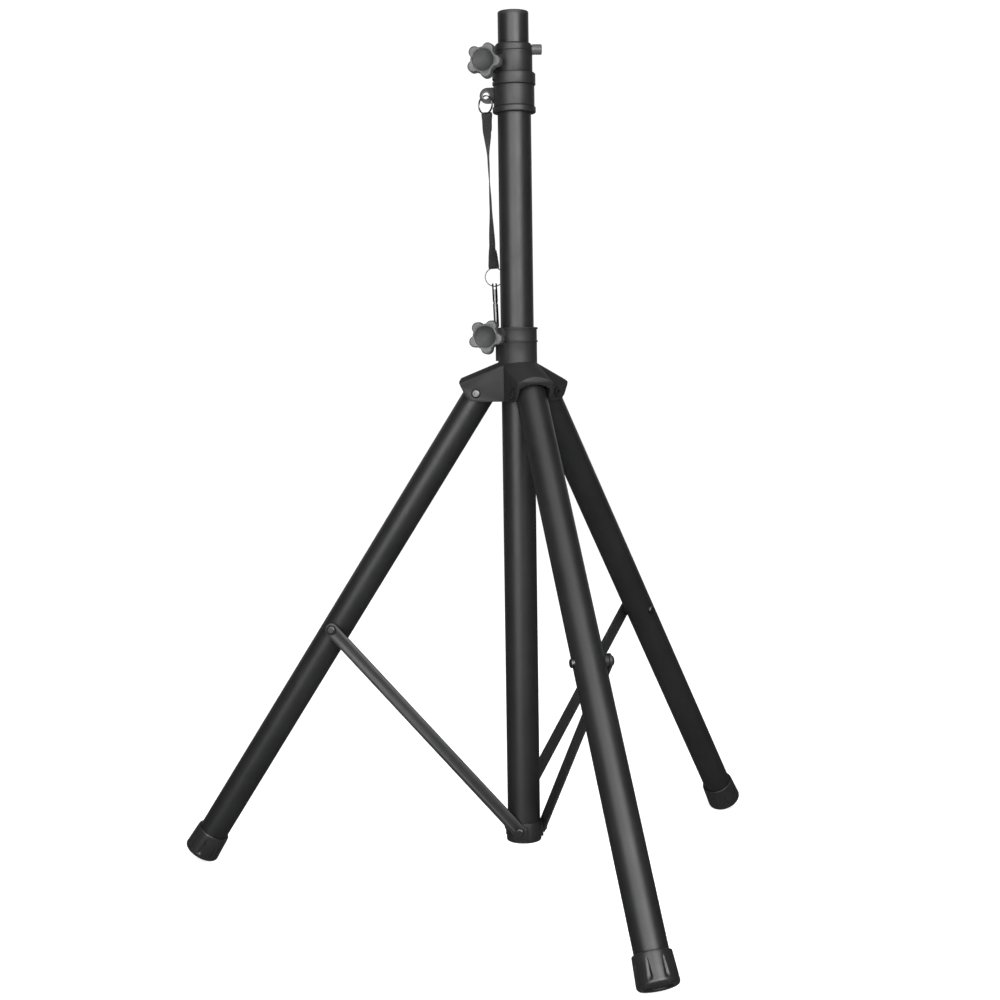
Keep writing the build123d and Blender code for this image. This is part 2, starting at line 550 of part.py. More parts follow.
# ================================================================ legs and braces
for number, azimuth in enumerate(LEG_AZIMUTHS, start=1):
    with BuildPart() as leg_tube:
        with BuildSketch(leg_section(azimuth, LEG_START)):
            Circle(LEG_R)
            Circle(LEG_R - LEG_WALL, mode=Mode.SUBTRACT)
        extrude(amount=LEG_END - LEG_START)
        for station, hole_r in ((0, 3.8), (BRACE_STATION, 3.2)):
            with BuildSketch(leg_side(azimuth, station, -20)):
                Circle(hole_r)
            extrude(amount=40, mode=Mode.SUBTRACT)
    leg_tube.part.label = f"leg_{number}_tube"
    export_step(leg_tube.part, f"parts/leg_{number}_tube.step")

    with BuildPart() as leg_plug:
        with BuildSketch(leg_section(azimuth, LEG_START)):
            Circle(LEG_R - LEG_WALL - 0.05)
        extrude(amount=26)
        with BuildSketch(leg_side(azimuth, 0, -20)):
            Circle(PIVOT_BOLT_R + RUN)
        extrude(amount=40, mode=Mode.SUBTRACT)
    leg_plug.part.label = f"leg_{number}_top_plug"
    export_step(leg_plug.part, f"parts/leg_{number}_top_plug.step")

    with BuildPart() as foot:
        with BuildSketch(leg_side(azimuth, 0, 0)):
            with BuildLine():
                Polyline(
                    (0, LEG_END + 0.5),
                    (LEG_R + SEAT, LEG_END + 0.5),
                    (LEG_R + SEAT, FOOT_START),
                    (20.0, FOOT_START),
                    (20.4, FOOT_START + 3),
                    (22.0, FOOT_END - 4),
                )
                ThreePointArc(
                    (22.0, FOOT_END - 4), (20.83, FOOT_END - 1.17), (18.0, FOOT_END)
                )
                Polyline(
                    (18.0, FOOT_END), (15.0, FOOT_END - 2), (0, FOOT_END - 2), (0, LEG_END + 0.5)
                )
            make_face()
        revolve(axis=Axis(leg_point(azimuth, 0), leg_direction(azimuth)))
        split(bisect_by=Plane.XY, keep=Keep.TOP)
    foot.part.label = f"leg_{number}_foot"
    export_step(foot.part, f"parts/leg_{number}_foot.step")

    with BuildPart() as brace_bolt:
        with BuildSketch(leg_side(azimuth, BRACE_STATION, -LEG_R - 3.0)):
            Circle(5.0)
        extrude(amount=8)
        head = brace_bolt.edges().filter_by(GeomType.CIRCLE)
        outward = Axis(origin=(0, 0, 0), direction=tangential(azimuth))
        fillet(head.sort_by(outward)[0], radius=1.8)
        with BuildSketch(leg_section(azimuth, BRACE_STATION - 20)):
            Circle(LEG_R + SEAT)
        extrude(amount=40, mode=Mode.SUBTRACT)
        with BuildSketch(leg_side(azimuth, BRACE_STATION, -LEG_R - 1)):
            Circle(RIVET_R)
        extrude(amount=LEG_R + 1 + BAR_INNER - 0.5)
    brace_bolt.part.label = f"leg_{number}_brace_bolt"
    export_step(brace_bolt.part, f"parts/leg_{number}_brace_bolt.step")

    with BuildPart() as brace_spacer:
        with BuildSketch(leg_side(azimuth, BRACE_STATION, 14)):
            Circle(6.5)
        extrude(amount=BAR_INNER - 0.5 - 14)
        with BuildSketch(leg_section(azimuth, BRACE_STATION - 20)):
            Circle(LEG_R + SEAT)
        extrude(amount=40, mode=Mode.SUBTRACT)
        with BuildSketch(leg_side(azimuth, BRACE_STATION, 0)):
            Circle(RIVET_R + SEAT)
        extrude(amount=40, mode=Mode.SUBTRACT)
    brace_spacer.part.label = f"leg_{number}_brace_spacer"
    export_step(brace_spacer.part, f"parts/leg_{number}_brace_spacer.step")

    with BuildPart() as brace_bar:
        with BuildSketch(side_plane(azimuth, BAR_OUTER)):
            with Locations((BRACE_HEAD_R / 2, BRACE_FOOT_Z + BRACE_RISE / 2)):
                SlotCenterToCenter(BRACE_LENGTH, BAR_WIDTH, rotation=BRACE_SLOPE)
            with Locations((0, BRACE_FOOT_Z), (BRACE_HEAD_R, BRACE_HEAD_Z)):
                Circle(RIVET_R + RUN, mode=Mode.SUBTRACT)
        extrude(amount=BAR_OUTER - BAR_INNER)
    brace_bar.part.label = f"brace_{number}_bar"
    export_step(brace_bar.part, f"parts/brace_{number}_bar.step")

    with BuildPart() as brace_cap:
        with BuildSketch(side_plane(azimuth, BAR_OUTER)):
            with Locations((BRACE_HEAD_R, BRACE_HEAD_Z)):
                Circle(RIVET_R)
        extrude(amount=BAR_OUTER - BAR_INNER)
        with BuildSketch(side_plane(azimuth, BAR_OUTER + RIVET_HEAD_H)):
            with Locations((BRACE_HEAD_R, BRACE_HEAD_Z)):
                Circle(RIVET_HEAD_R)
        extrude(amount=RIVET_HEAD_H)
        head = brace_cap.edges().filter_by(GeomType.CIRCLE)
        outward = Axis(origin=(0, 0, 0), direction=tangential(azimuth))
        fillet(head.sort_by(outward)[-1], radius=2.6)
    brace_cap.part.label = f"brace_{number}_cap"
    export_step(brace_cap.part, f"parts/brace_{number}_cap.step")

# ================================================================ lanyard
UPPER_RING_CENTRE = spot(CLAMP_AZIMUTH, UPPER_RING_AT, 0, EYELET_Z - UPPER_RING_R)
with BuildPart(Plane(origin=UPPER_RING_CENTRE, z_dir=radial(UPPER_RING_NORMAL))) as upper_ring:
    Torus(UPPER_RING_R, RING_WIRE_R)
upper_ring.part.label = "lanyard_upper_ring"
export_step(upper_ring.part, "parts/lanyard_upper_ring.step")

with BuildPart(Plane(origin=LOWER_RING_CENTRE, z_dir=radial(LOWER_RING_NORMAL))) as lower_ring:
    Torus(LOWER_RING_R, RING_WIRE_R)
lower_ring.part.label = "lanyard_lower_ring"
export_step(lower_ring.part, "parts/lanyard_lower_ring.step")

corners = [Vector(*point) for point in STRAP_ROUTE]
bend_radii = []
for before, corner, after in zip(corners, corners[1:], corners[2:]):
    half_turn = radians((corner - before).get_angle(after - corner) / 2)
    shorter = min((corner - before).length, (after - corner).length)
    bend_radii.append(0.45 * shorter * cos(half_turn) / sin(half_turn))
print("strap bend radii", [round(radius) for radius in bend_radii])

with BuildPart() as strap:
    with BuildLine() as strap_path:
        FilletPolyline(*corners, radius=bend_radii)
    start = corners[1] - corners[0]
    width_way = start.cross(radial(LOWER_RING_NORMAL))
    with BuildSketch(Plane(origin=corners[0], x_dir=width_way, z_dir=start)):
        Rectangle(STRAP_WIDTH, STRAP_THICKNESS)
    sweep(path=strap_path.wires()[0])
print("strap length", round(strap_path.wires()[0].length, 1))
print("strap volume", round(strap.part.volume), "section times length",
      round(strap_path.wires()[0].length * STRAP_WIDTH * STRAP_THICKNESS))
strap.part.label = "lanyard_strap"
export_step(strap.part, "parts/lanyard_strap.step")

pin_lean = radians(PIN_LEAN)
ring_way = radial(LOWER_RING_NORMAL + 90)
pin_way = ring_way * sin(pin_lean) + Vector(0, 0, cos(pin_lean))
pin_across = ring_way * cos(pin_lean) - Vector(0, 0, sin(pin_lean))
pin_base = Plane(origin=PIN_TIP, x_dir=pin_across, z_dir=pin_way)
pin_axis = Axis(Vector(*PIN_TIP), pin_way)
with BuildPart() as locking_pin:
    with BuildSketch(pin_base):
        Circle(PIN_R)
    extrude(amount=PIN_LENGTH)
    chamfer(locking_pin.faces().sort_by(pin_axis)[0].edges(), 0.9)
    chamfer(locking_pin.faces().sort_by(pin_axis)[-1].edges(), 0.6)
    with BuildSketch(pin_base.offset(27)):
        Circle(PIN_R)
        Circle(PIN_R - 0.6, mode=Mode.SUBTRACT)
    extrude(amount=2.2, mode=Mode.SUBTRACT)
    with BuildSketch(pin_base.offset(PIN_LENGTH - 7)):
        Rectangle(2.2, 8)
    extrude(amount=8, mode=Mode.SUBTRACT)
    with BuildSketch(Plane(origin=Vector(*LOWER_RING_CENTRE) - Vector(0, 0, LOWER_RING_R),
                           x_dir=(0, 0, 1), z_dir=ring_way)):
        Circle(1.3)
    extrude(amount=8, both=True, mode=Mode.SUBTRACT)
locking_pin.part.label = "locking_pin"
export_step(locking_pin.part, "parts/locking_pin.step")
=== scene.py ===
import json
from math import cos, degrees, pi, radians, sin, sqrt

import bmesh
import bpy
from mathutils import Matrix, Vector


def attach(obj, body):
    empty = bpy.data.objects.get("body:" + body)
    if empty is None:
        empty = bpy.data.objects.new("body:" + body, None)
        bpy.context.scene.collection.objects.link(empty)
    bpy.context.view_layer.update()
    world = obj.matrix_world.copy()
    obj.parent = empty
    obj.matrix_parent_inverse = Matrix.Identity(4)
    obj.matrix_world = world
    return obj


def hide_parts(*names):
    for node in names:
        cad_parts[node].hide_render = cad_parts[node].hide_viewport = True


# Folding tripod stand for a loudspeaker.  Sizes are in millimetres unless a comment says metres.
# The origin is on the column's axis, on the floor.  Legs stand at 270, 30 and 150 degrees.
# In each leg's frame r runs outwards, t runs anticlockwise as seen from above, and z runs up.

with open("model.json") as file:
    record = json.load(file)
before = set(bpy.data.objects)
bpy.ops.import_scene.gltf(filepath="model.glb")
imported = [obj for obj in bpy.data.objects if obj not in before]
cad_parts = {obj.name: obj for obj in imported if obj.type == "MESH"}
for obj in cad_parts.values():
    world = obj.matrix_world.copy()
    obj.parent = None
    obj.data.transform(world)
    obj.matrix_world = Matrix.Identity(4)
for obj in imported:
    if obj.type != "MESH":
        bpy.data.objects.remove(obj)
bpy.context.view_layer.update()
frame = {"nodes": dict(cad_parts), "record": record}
record = frame["record"]
BODY_OF = {node: body for body, nodes in record["behaviour"]["bodies"].items() for node in nodes}
SLOT_OF = {part["node"]: part["material_slot"] for part in record["subparts"]}

MM = 0.001
LEG_AZIMUTHS = (270, 30, 150)
CLAMP_AZIMUTH = 150  # the side of the column that the lug and both clamps' splits face
ON_AXIS = 1e-6  # a radius below this is a point on the axis


# ---------------------------------------------------------------- frames of reference
def radial(azimuth):
    """Unit vector outwards at an azimuth."""
    return Vector((cos(radians(azimuth)), sin(radians(azimuth)), 0))


def spot(azimuth, r, t, z):
    """Point in millimetres from its r, t and z in the frame of an azimuth."""
    return radial(azimuth) * r + radial(azimuth + 90) * t + Vector((0, 0, z))


def smooth(x):
    """Smooth step from 0 to 1."""
    x = min(max(x, 0), 1)
    return x * x * (3 - 2 * x)


# ---------------------------------------------------------------- camera
# Metres, and a lens in millimetres on the default 36 mm sensor.
CAMERA_AT = (-0.6016, -1.8483, 0.6005)
CAMERA_HEADING = radians(17.361)  # clockwise from +Y
CAMERA_DOWN = radians(4.58)
CAMERA_ROLL = radians(-0.843)
CAMERA_LENS = 60.71


def place_camera():
    """The camera, by its place, heading, downward tilt and roll."""
    level = Vector((sin(CAMERA_HEADING), cos(CAMERA_HEADING), 0))
    right = Vector((cos(CAMERA_HEADING), -sin(CAMERA_HEADING), 0))
    forward = level * cos(CAMERA_DOWN) - Vector((0, 0, sin(CAMERA_DOWN)))
    up = level * sin(CAMERA_DOWN) + Vector((0, 0, cos(CAMERA_DOWN)))
    x_way = right * cos(CAMERA_ROLL) + up * sin(CAMERA_ROLL)
    y_way = up * cos(CAMERA_ROLL) - right * sin(CAMERA_ROLL)
    data = bpy.data.cameras.new("camera")
    data.lens = CAMERA_LENS
    data.clip_end = 100
    camera = bpy.data.objects.new("camera", data)
    turn = Matrix((x_way, y_way, -forward)).transposed()
    camera.matrix_world = Matrix.Translation(CAMERA_AT) @ turn.to_4x4()
    bpy.context.collection.objects.link(camera)
    bpy.context.scene.camera = camera


# ---------------------------------------------------------------- materials
def shader(name, roughness, metallic=0.0, sheen=0.0, specular=0.5):
    """A new material, its nodes, its links and its Principled shader."""
    material = bpy.data.materials.new(name)
    material.use_nodes = True
    tree = material.node_tree
    surface = tree.nodes["Principled BSDF"]
    surface.inputs["Roughness"].default_value = roughness
    surface.inputs["Metallic"].default_value = metallic
    surface.inputs["Specular IOR Level"].default_value = specular
    surface.inputs["Sheen Weight"].default_value = sheen
    return material, tree.nodes, tree.links, surface


def noise(nodes, links, vector, scale, detail, roughness):
    """The value output of a noise texture, its scale in cells a metre."""
    node = nodes.new("ShaderNodeTexNoise")
    node.inputs["Scale"].default_value = scale
    node.inputs["Detail"].default_value = detail
    node.inputs["Roughness"].default_value = roughness
    links.new(vector, node.inputs["Vector"])
    return node.outputs["Fac"]


def mapped(nodes, links, stretch):
    """Object coordinates stretched along x, y and z."""
    where = nodes.new("ShaderNodeTexCoord")
    mapping = nodes.new("ShaderNodeMapping")
    mapping.inputs["Scale"].default_value = stretch
    links.new(where.outputs["Object"], mapping.inputs["Vector"])
    return mapping.outputs["Vector"]


def ranged(nodes, links, value, low_in, high_in, low, high):
    """A value carried from one range to another."""
    node = nodes.new("ShaderNodeMapRange")
    node.inputs["From Min"].default_value = low_in
    node.inputs["From Max"].default_value = high_in
    node.inputs["To Min"].default_value = low
    node.inputs["To Max"].default_value = high
    links.new(value, node.inputs["Value"])
    return node.outputs["Result"]


def ramp(nodes, links, value, stops):
    """A colour ramp through (place, colour) stops."""
    node = nodes.new("ShaderNodeValToRGB")
    elements = node.color_ramp.elements
    while len(elements) < len(stops):
        elements.new(0.5)
    for element, (place, colour) in zip(elements, stops):
        element.position = place
        element.color = (*colour, 1)
    links.new(value, node.inputs["Fac"])
    return node.outputs["Color"]


def bump(nodes, links, surface, height, distance):
    """Bump from a height between 0 and 1, its distance in metres."""
    node = nodes.new("ShaderNodeBump")
    node.inputs["Distance"].default_value = distance
    links.new(height, node.inputs["Height"])
    links.new(node.outputs["Normal"], surface.inputs["Normal"])


def grey(value, warmth=0.0):
    """A near-neutral colour, warmer or cooler by warmth."""
    return (value * (1 + warmth), value, value * (1 - warmth))


def mottled(name, dark, light, gloss, grain, relief, drift=14, stretch=(1, 1, 1), specular=0.5):
    """Paint, plastic or rubber: a cloudy tone, a fine speckle, patchy gloss, and grain in the bump.

    gloss is the (lowest, highest) roughness, grain and drift are the speckle's and the clouds'
    cells a metre, and relief is the bump in metres.
    """
    material, nodes, links, surface = shader(name, sum(gloss) / 2, specular=specular)
    where = mapped(nodes, links, stretch)
    cloud = noise(nodes, links, where, drift, 5, 0.6)
    speckle = noise(nodes, links, where, grain, 2, 0.5)
    both = nodes.new("ShaderNodeMath")
    both.operation = "MULTIPLY_ADD"
    both.inputs[1].default_value = 0.35
    links.new(speckle, both.inputs[0])
    links.new(cloud, both.inputs[2])
    stops = [(0.42, grey(dark, -0.02)), (0.95, grey(light, -0.01))]
    links.new(ramp(nodes, links, both.outputs[0], stops), surface.inputs["Base Color"])
    rub = noise(nodes, links, where, drift * 3.1, 6, 0.7)
    links.new(ranged(nodes, links, rub, 0.35, 0.68, *gloss), surface.inputs["Roughness"])
    bump(nodes, links, surface, speckle, relief)
    return material


def metal(name, dark, light, gloss, grain, relief, stretch=(1, 1, 1)):
    """Plated or bare metal with fine drawn or tumbled marks."""
    material, nodes, links, surface = shader(name, sum(gloss) / 2, metallic=1.0)
    where = mapped(nodes, links, stretch)
    marks = noise(nodes, links, where, grain, 4, 0.65)
    stain = noise(nodes, links, where, 120, 4, 0.6)
    links.new(ramp(nodes, links, stain, [(0.35, dark), (0.7, light)]), surface.inputs["Base Color"])
    links.new(ranged(nodes, links, marks, 0.3, 0.7, *gloss), surface.inputs["Roughness"])
    bump(nodes, links, surface, marks, relief)
    return material


def woven(name, dark, light):
    """Nylon webbing: picks across and ribs along, from the ribbon's own (across, along) map."""
    material, nodes, links, surface = shader(name, 0.8, sheen=0.1, specular=0.25)
    uv = nodes.new("ShaderNodeUVMap")
    uv.uv_map = "weave"
    waves = []
    for across, along in ((9, 0), (0, 620)):
        mapping = nodes.new("ShaderNodeMapping")
        mapping.inputs["Scale"].default_value = (across, along, 1)
        links.new(uv.outputs["UV"], mapping.inputs["Vector"])
        wave = nodes.new("ShaderNodeTexWave")
        wave.bands_direction = "X" if across else "Y"
        wave.inputs["Scale"].default_value = 1 / pi
        wave.inputs["Distortion"].default_value = 0.4
        links.new(mapping.outputs["Vector"], wave.inputs["Vector"])
        waves.append(wave.outputs["Fac"])
    height = nodes.new("ShaderNodeMath")
    height.operation = "MULTIPLY_ADD"
    links.new(waves[0], height.inputs[0])
    links.new(waves[1], height.inputs[1])
    lint = noise(nodes, links, mapped(nodes, links, (1, 1, 1)), 900, 2, 0.6)
    links.new(ranged(nodes, links, lint, 0.3, 0.7, 0.0, 0.45), height.inputs[2])
    links.new(ramp(nodes, links, height.outputs[0], [(0.1, grey(dark)), (0.9, grey(light))]),
              surface.inputs["Base Color"])
    surface.inputs["Sheen Roughness"].default_value = 0.5
    bump(nodes, links, surface, height.outputs[0], 0.00028)
    return material


MATERIALS = {
    "powder_coat": mottled("powder_coat", 0.006, 0.010, (0.38, 0.47), 1500, 0.00006),
    "pole_coat": mottled("pole_coat", 0.006, 0.010, (0.33, 0.43), 1300, 0.00005,
                         stretch=(1, 1, 0.35)),
    "cast_coat": mottled("cast_coat", 0.007, 0.012, (0.42, 0.52), 1100, 0.00011),
    "bar_paint": mottled("bar_paint", 0.010, 0.017, (0.38, 0.48), 1400, 0.00006, drift=22),
    "knob_plastic": mottled("knob_plastic", 0.046, 0.062, (0.40, 0.50), 1700, 0.00008, drift=45),
    "inner_plastic": mottled("inner_plastic", 0.012, 0.018, (0.5, 0.6), 1200, 0.00005),
    "foot_rubber": mottled("foot_rubber", 0.008, 0.014, (0.28, 0.38), 1300, 0.00007, drift=40),
    "black_rivet": mottled("black_rivet", 0.010, 0.016, (0.14, 0.22), 900, 0.00003, drift=90),
    "zinc_steel": metal("zinc_steel", (0.09, 0.09, 0.093), (0.15, 0.15, 0.147),
                        (0.32, 0.46), 1400, 0.00003),
    "bright_steel": metal("bright_steel", (0.11, 0.11, 0.113), (0.19, 0.19, 0.187),
                          (0.22, 0.32), 900, 0.000015, stretch=(1, 1, 0.2)),
    "insert_brass": metal("insert_brass", (0.52, 0.38, 0.17), (0.74, 0.57, 0.28),
                          (0.25, 0.4), 1500, 0.00003),
    "webbing": woven("webbing", 0.006, 0.022),
}
HUB_COAT = mottled("hub_coat", 0.006, 0.011, (0.54, 0.64), 1000, 0.00012)
# The dish's finish is painted shade: the knob's plastic made darker to stand for the hollow's shade
# and its dark reflection.
DISH_PAINTED_SHADE = mottled("dish_painted_shade", 0.009, 0.014, (0.38, 0.48), 1500, 0.00004, drift=60, specular=0.35)


# ---------------------------------------------------------------- mesh builders
def piece(name, mesh, node, sharp=35, material=None):
    """A visible piece with a CAD node's slot, and its finish unless another is given."""
    obj = bpy.data.objects.new(name, mesh)
    bpy.context.collection.objects.link(obj)
    mesh.polygons.foreach_set("use_smooth", [True] * len(mesh.polygons))
    mesh.set_sharp_from_angle(angle=radians(sharp))
    mesh.materials.clear()
    mesh.materials.append(material or MATERIALS[SLOT_OF[node]])
    return obj


def install(obj, node):
    """obj stands for a CAD node and moves with its body."""
    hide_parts(node)
    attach(obj, BODY_OF[node])


def finished(bm, name):
    """A mesh from a bmesh, its faces turned outwards."""
    bmesh.ops.recalc_face_normals(bm, faces=bm.faces)
    mesh = bpy.data.meshes.new(name)
    bm.to_mesh(mesh)
    bm.free()
    return mesh


def turned(name, base, axis, start, rows, steps, radius=None, floor=False):
    """A closed body of revolution.

    rows are (radius, height) from one end of its axis to the other, the first and last on the axis
    or joined to each other.  radius(angle, row radius, height) may vary the radius round the turn.
    floor cuts off what is below the floor.
    """
    axis = axis.normalized()
    start = (start - axis * start.dot(axis)).normalized()
    side = axis.cross(start)
    bm = bmesh.new()
    rings = []
    for r, height in rows:
        centre = base + axis * height
        if r < ON_AXIS:
            rings.append([bm.verts.new(centre * MM)] * steps)
            continue
        ring = []
        for i in range(steps):
            angle = 2 * pi * i / steps
            reach = radius(angle, r, height) if radius else r
            point = centre + (start * cos(angle) + side * sin(angle)) * reach
            ring.append(bm.verts.new(point * MM))
        rings.append(ring)
    pairs = list(zip(rings, rings[1:]))
    if rows[0][0] > ON_AXIS:
        pairs.append((rings[-1], rings[0]))
    for low, high in pairs:
        for i in range(steps):
            j = (i + 1) % steps
            corners = [low[i], low[j], high[j], high[i]]
            corners = [v for k, v in enumerate(corners) if v not in corners[:k]]
            if len(corners) > 2:
                bm.faces.new(corners)
    if floor:
        cut = bmesh.ops.bisect_plane(
            bm, geom=bm.verts[:] + bm.edges[:] + bm.faces[:], plane_co=(0, 0, 0),
            plane_no=(0, 0, 1), clear_inner=True)
        rim = [e for e in cut["geom_cut"] if isinstance(e, bmesh.types.BMEdge)]
        bmesh.ops.holes_fill(bm, edges=rim, sides=0)
    return finished(bm, name)


def softened(node, name, width, segments=2):
    """A copy of a CAD node's mesh with its hard edges rounded to this width."""
    bm = bmesh.new()
    bm.from_mesh(frame["nodes"][node].data)
    bmesh.ops.remove_doubles(bm, verts=bm.verts, dist=1e-6)
    bmesh.ops.dissolve_limit(bm, angle_limit=radians(0.5), verts=bm.verts, edges=bm.edges)
    rough = bpy.data.objects.new(name + "_rough", finished(bm, name + "_rough"))
    bpy.context.collection.objects.link(rough)
    bevel = rough.modifiers.new("edges", "BEVEL")
    bevel.width = width * MM
    bevel.segments = segments
    bevel.limit_method = "ANGLE"
    bevel.angle_limit = radians(28)
    bevel.use_clamp_overlap = True
    bpy.context.view_layer.update()
    graph = bpy.context.evaluated_depsgraph_get()
    mesh = bpy.data.meshes.new_from_object(rough.evaluated_get(graph))
    mesh.name = name
    bpy.data.objects.remove(rough)
    return mesh


def ribbon(name, line, ways, width, thick):
    """A flat band, in metres, along a line of points, its width along ways.

    Its edges are thinned and rounded.  Its "weave" map is (across, along).
    """
    across = [-1, -0.96, -0.8, -0.4, 0, 0.4, 0.8, 0.96, 1]
    top = [(u, 1 - 0.55 * abs(u) ** 14) for u in across]
    section = top + [(u, -v) for u, v in reversed(top)]
    bm = bmesh.new()
    weave = bm.loops.layers.uv.new("weave")
    rings, run, runs = [], 0.0, []
    for i, (point, way) in enumerate(zip(line, ways)):
        before, after = line[max(i - 1, 0)], line[min(i + 1, len(line) - 1)]
        along = (after - before).normalized()
        way = (way - along * way.dot(along)).normalized()
        up = along.cross(way)
        run += (point - line[i - 1]).length if i else 0
        runs.append(run)
        rings.append([
            bm.verts.new(point + way * u * width / 2 + up * v * thick / 2) for u, v in section
        ])
    count = len(section)
    for i, (low, high) in enumerate(zip(rings, rings[1:])):
        for k in range(count):
            m = (k + 1) % count
            face = bm.faces.new([low[k], low[m], high[m], high[k]])
            for loop, (j, row) in zip(face.loops, ((k, i), (m, i), (m, i + 1), (k, i + 1))):
                loop[weave].uv = ((section[j][0] + 1) / 2, runs[row])
    for ring in (rings[0], rings[-1]):
        bm.faces.new(ring)
    return finished(bm, name)


def wire(name, points, radius):
    """A round wire through points, with flat ends.  All is in metres."""
    curve = bpy.data.curves.new(name, "CURVE")
    curve.dimensions = "3D"
    curve.bevel_depth = radius
    curve.bevel_resolution = 3
    curve.use_fill_caps = True
    spline = curve.splines.new("POLY")
    spline.points.add(len(points) - 1)
    for control, point in zip(spline.points, points):
        control.co = (*point, 1)
    obj = bpy.data.objects.new(name + "_line", curve)
    bpy.context.collection.objects.link(obj)
    bpy.context.view_layer.update()
    mesh = bpy.data.meshes.new_from_object(obj.evaluated_get(bpy.context.evaluated_depsgraph_get()))
    bpy.data.objects.remove(obj)
    return mesh


# ---------------------------------------------------------------- lanyard
# The strap is in metres, and the rings are in millimetres.
STRAP_ROUTE = [
    (-0.0274, 0.0172, 0.8874),
    (-0.0264, 0.0192, 0.8560),
    (-0.0242, 0.0218, 0.8160),
    (-0.0218, 0.0246, 0.7770),
    (-0.0206, 0.0262, 0.7400),
    (-0.0186, 0.0268, 0.7116),
]
STRAP_WIDTH, STRAP_PLY = 0.0115, 0.0011
STRAP_TWISTS = (  # (distance down the strap where a turn starts, its length, degrees clockwise)
    (0.008, 0.045, 59),
    (0.055, 0.050, 20),
    (0.105, 0.045, 24),
    (0.150, 0.022, 37),
)
STRAP_START_AZIMUTH = 320
FOLD_LENGTH, FOLD_LOOP = 0.021, 0.0021  # how long each sewn end is, and its loop's radius
FOLD_CLOSE = 0.008  # the stretch over which the plies come together
SEW_START, SEW_PITCH, SEW_ROWS, SEW_COLUMNS = 0.0095, 0.0021, 5, 7
THREAD_SIZE = (0.00062, 0.00024, 0.00022)  # half sizes of a stitch: along, across, out
RING_TURNS, RING_STEPS = 1.93, 150
UPPER_RING_R, LOWER_RING_R, RING_WIRE_R = 10.1, 10.6, 0.62
UPPER_RING_CENTRE = spot(CLAMP_AZIMUTH, 33.4, 0, 896.1)
LOWER_RING_CENTRE = Vector((-18.1, 26.9, 701.8))
UPPER_RING_NORMAL, LOWER_RING_NORMAL = 212, 252


def route_line():
    """Points along the strap's route, read from its NURBS spline."""
    curve = bpy.data.curves.new("strap_route", "CURVE")
    curve.dimensions = "3D"
    curve.resolution_u = 24
    spline = curve.splines.new("NURBS")
    spline.points.add(len(STRAP_ROUTE) - 1)
    for control, point in zip(spline.points, STRAP_ROUTE):
        control.co = (*point, 1)
    spline.order_u = 3
    spline.use_endpoint_u = True
    obj = bpy.data.objects.new("strap_route", curve)
    bpy.context.collection.objects.link(obj)
    bpy.context.view_layer.update()
    mesh = bpy.data.meshes.new_from_object(obj)
    line = [v.co.copy() for v in mesh.vertices]
    bpy.data.objects.remove(obj)
    bpy.data.meshes.remove(mesh)
    return line


class Route:
    """The strap's centreline, asked for its place and direction at a distance from its top."""

    def __init__(self, line):
        self.line = line
        self.runs = [0.0]
        for a, b in zip(line, line[1:]):
            self.runs.append(self.runs[-1] + (b - a).length)
        self.length = self.runs[-1]

    def at(self, run):
        """The point at this run."""
        run = min(max(run, 0), self.length)
        i = next((k for k in range(1, len(self.runs)) if self.runs[k] >= run), len(self.runs) - 1)
        share = (run - self.runs[i - 1]) / (self.runs[i] - self.runs[i - 1])
        return self.line[i - 1].lerp(self.line[i], share)

    def way(self, run):
        """The direction at this run."""
        return (self.at(run + 0.004) - self.at(run - 0.004)).normalized()

    def across(self, run):
        """The way the width points: the strap turns by stages between its rings."""
        azimuth = STRAP_START_AZIMUTH
        for start, stretch, turn in STRAP_TWISTS:
            azimuth -= turn * smooth((run - start) / stretch)
        flat = radial(azimuth)
        way = self.way(run)
        return (flat - way * flat.dot(way)).normalized()

    def face(self, run):
        """The way the strap's face points."""
        return self.way(run).cross(self.across(run))


def strap_gap(depth):
    """How far apart the two plies are, at a depth from the fold."""
    closing = smooth((depth - FOLD_LOOP) / FOLD_CLOSE)
    return 2 * FOLD_LOOP * (1 - closing) + STRAP_PLY * 1.04 * closing


def strap_line(route):
    """(point, width direction) along the whole folded strap, from one tail to the other."""
    out = []
    step = 0.0011

    def add(run, shift):
        out.append((route.at(run) + route.face(run) * shift, route.across(run)))

    def fold(run_at, way):
        """Round the loop at an end: way is 1 at the top, where the strap leaves downwards."""
        centre = run_at + way * FOLD_LOOP
        for i in range(1, 12):
            angle = pi * i / 12
            side = -cos(angle) if way > 0 else cos(angle)
            point = route.at(centre) - route.way(centre) * way * FOLD_LOOP * sin(angle)
            out.append((point + route.face(centre) * FOLD_LOOP * side, route.across(centre)))

    count = int((FOLD_LENGTH - FOLD_LOOP) / step)
    depths = [FOLD_LENGTH - (FOLD_LENGTH - FOLD_LOOP) * i / count for i in range(count + 1)]
    for depth in depths:
        add(depth, -strap_gap(depth) / 2)
    fold(0, 1)
    for depth in reversed(depths):
        add(depth, strap_gap(depth) / 2)
    middle = route.length - 2 * FOLD_LENGTH
    count = int(middle / step)
    for i in range(1, count):
        run = middle * i / count
        ply = STRAP_PLY * 0.52
        fade = 1 - smooth(run / FOLD_CLOSE) + smooth((run - middle + FOLD_CLOSE) / FOLD_CLOSE)
        add(FOLD_LENGTH + run, ply * fade)
    for depth in depths:
        add(route.length - depth, strap_gap(depth) / 2)
    fold(route.length, -1)
    for depth in reversed(depths):
        add(route.length - depth, -strap_gap(depth) / 2)
    return out


